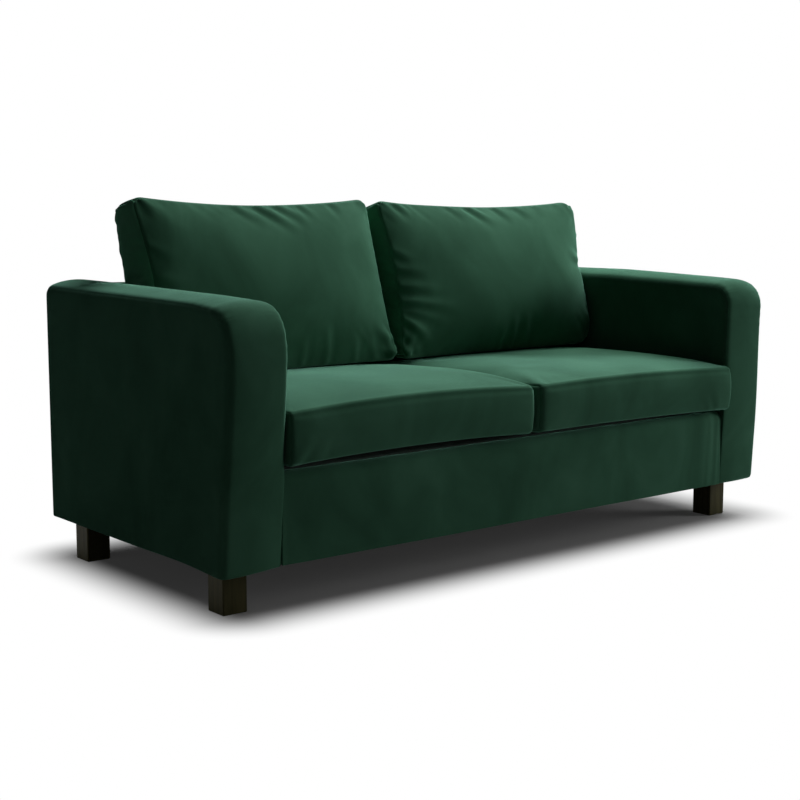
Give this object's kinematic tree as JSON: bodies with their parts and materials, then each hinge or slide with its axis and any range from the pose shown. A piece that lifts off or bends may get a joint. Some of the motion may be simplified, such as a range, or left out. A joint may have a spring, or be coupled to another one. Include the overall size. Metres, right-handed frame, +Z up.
{
  "type": "two-seat sofa",
  "caption": "Low box-arm velvet sofa on dark square wooden legs, with loose crowned seat cushions and leaning back cushions that lift out.",
  "frame": {"origin": "on the floor, under the middle of the sofa", "axes": "+X along the sofa to the right as seen from the front, +Y to its back, +Z up"},
  "size_m": [1.72, 0.8002, 0.8649],
  "materials": {
    "velvet": "short-pile velvet",
    "leg_wood": "stained near black, satin",
    "frame_wood": "sawn",
    "panel_board": "pressed board",
    "foam": "open-cell foam",
    "fibre": "soft fibre",
    "webbing": "woven elastic",
    "dust_cloth": "non-woven",
    "deck_cloth": "plain weave",
    "steel": "zinc plated",
    "zip_tape": "nylon coil on tape",
    "zip_metal": "lacquered"
  },
  "bodies": {
    "frame": {"arm_bolts": "steel", "back_bolts": "steel", "back_top_rail": "frame_wood", "back_webbing": "webbing", "backrest_cover": "velvet", "backrest_foam": "foam", "centre_back_post": "frame_wood", "dust_cover": "dust_cloth", "front_rail_cover": "velvet", "front_rail_pad": "foam", "left_arm_bottom_rail": "frame_wood", "left_arm_cover": "velvet", "left_arm_foam": "foam", "left_arm_front_post": "frame_wood", "left_arm_inner_panel": "panel_board", "left_arm_outer_panel": "panel_board", "left_arm_rear_post": "frame_wood", "left_arm_top_rail": "frame_wood", "left_back_post": "frame_wood", "left_front_leg": "leg_wood", "left_rear_leg": "leg_wood", "left_seat_end_rail": "frame_wood", "leg_bolts": "steel", "nuts": "steel", "right_arm_bottom_rail": "frame_wood", "right_arm_cover": "velvet", "right_arm_foam": "foam", "right_arm_front_post": "frame_wood", "right_arm_inner_panel": "panel_board", "right_arm_outer_panel": "panel_board", "right_arm_rear_post": "frame_wood", "right_arm_top_rail": "frame_wood", "right_back_post": "frame_wood", "right_front_leg": "leg_wood", "right_rear_leg": "leg_wood", "right_seat_end_rail": "frame_wood", "seat_centre_beam": "frame_wood", "seat_deck_cover": "deck_cloth", "seat_deck_pad": "foam", "seat_front_rail": "frame_wood", "seat_rear_rail": "frame_wood", "seat_webbing": "webbing"},
    "left_seat_cushion": {"left_seat_cushion_cover": "velvet", "left_seat_cushion_filling": "foam", "left_seat_cushion_zip": "zip_tape"},
    "left_seat_cushion_zip_slider": {"left_seat_cushion_zip_slider": "zip_metal"},
    "left_back_cushion": {"left_back_cushion_cover": "velvet", "left_back_cushion_filling": "fibre", "left_back_cushion_zip": "zip_tape"},
    "left_back_cushion_zip_slider": {"left_back_cushion_zip_slider": "zip_metal"},
    "right_seat_cushion": {"right_seat_cushion_cover": "velvet", "right_seat_cushion_filling": "foam", "right_seat_cushion_zip": "zip_tape"},
    "right_seat_cushion_zip_slider": {"right_seat_cushion_zip_slider": "zip_metal"},
    "right_back_cushion": {"right_back_cushion_cover": "velvet", "right_back_cushion_filling": "fibre", "right_back_cushion_zip": "zip_tape"},
    "right_back_cushion_zip_slider": {"right_back_cushion_zip_slider": "zip_metal"}
  },
  "joints": [
    {"name": "left_seat_cushion_pull", "type": "slide", "parent": "frame", "child": "left_seat_cushion", "axis": [0, -1, 0], "range_m": [0, 0.7]},
    {"name": "left_seat_cushion_zip_run", "type": "slide", "parent": "left_seat_cushion", "child": "left_seat_cushion_zip_slider", "axis": [1, 0, 0], "range_m": [0, 0.49]},
    {"name": "left_back_cushion_lift", "type": "slide", "parent": "frame", "child": "left_back_cushion", "axis": [0, 0, 1], "range_m": [0, 0.45]},
    {"name": "left_back_cushion_zip_run", "type": "slide", "parent": "left_back_cushion", "child": "left_back_cushion_zip_slider", "axis": [1, 0, 0], "range_m": [0, 0.49]},
    {"name": "right_seat_cushion_pull", "type": "slide", "parent": "frame", "child": "right_seat_cushion", "axis": [0, -1, 0], "range_m": [0, 0.7]},
    {"name": "right_seat_cushion_zip_run", "type": "slide", "parent": "right_seat_cushion", "child": "right_seat_cushion_zip_slider", "axis": [1, 0, 0], "range_m": [0, 0.49]},
    {"name": "right_back_cushion_lift", "type": "slide", "parent": "frame", "child": "right_back_cushion", "axis": [0, 0, 1], "range_m": [0, 0.45]},
    {"name": "right_back_cushion_zip_run", "type": "slide", "parent": "right_back_cushion", "child": "right_back_cushion_zip_slider", "axis": [1, 0, 0], "range_m": [0, 0.49]}
  ]
}
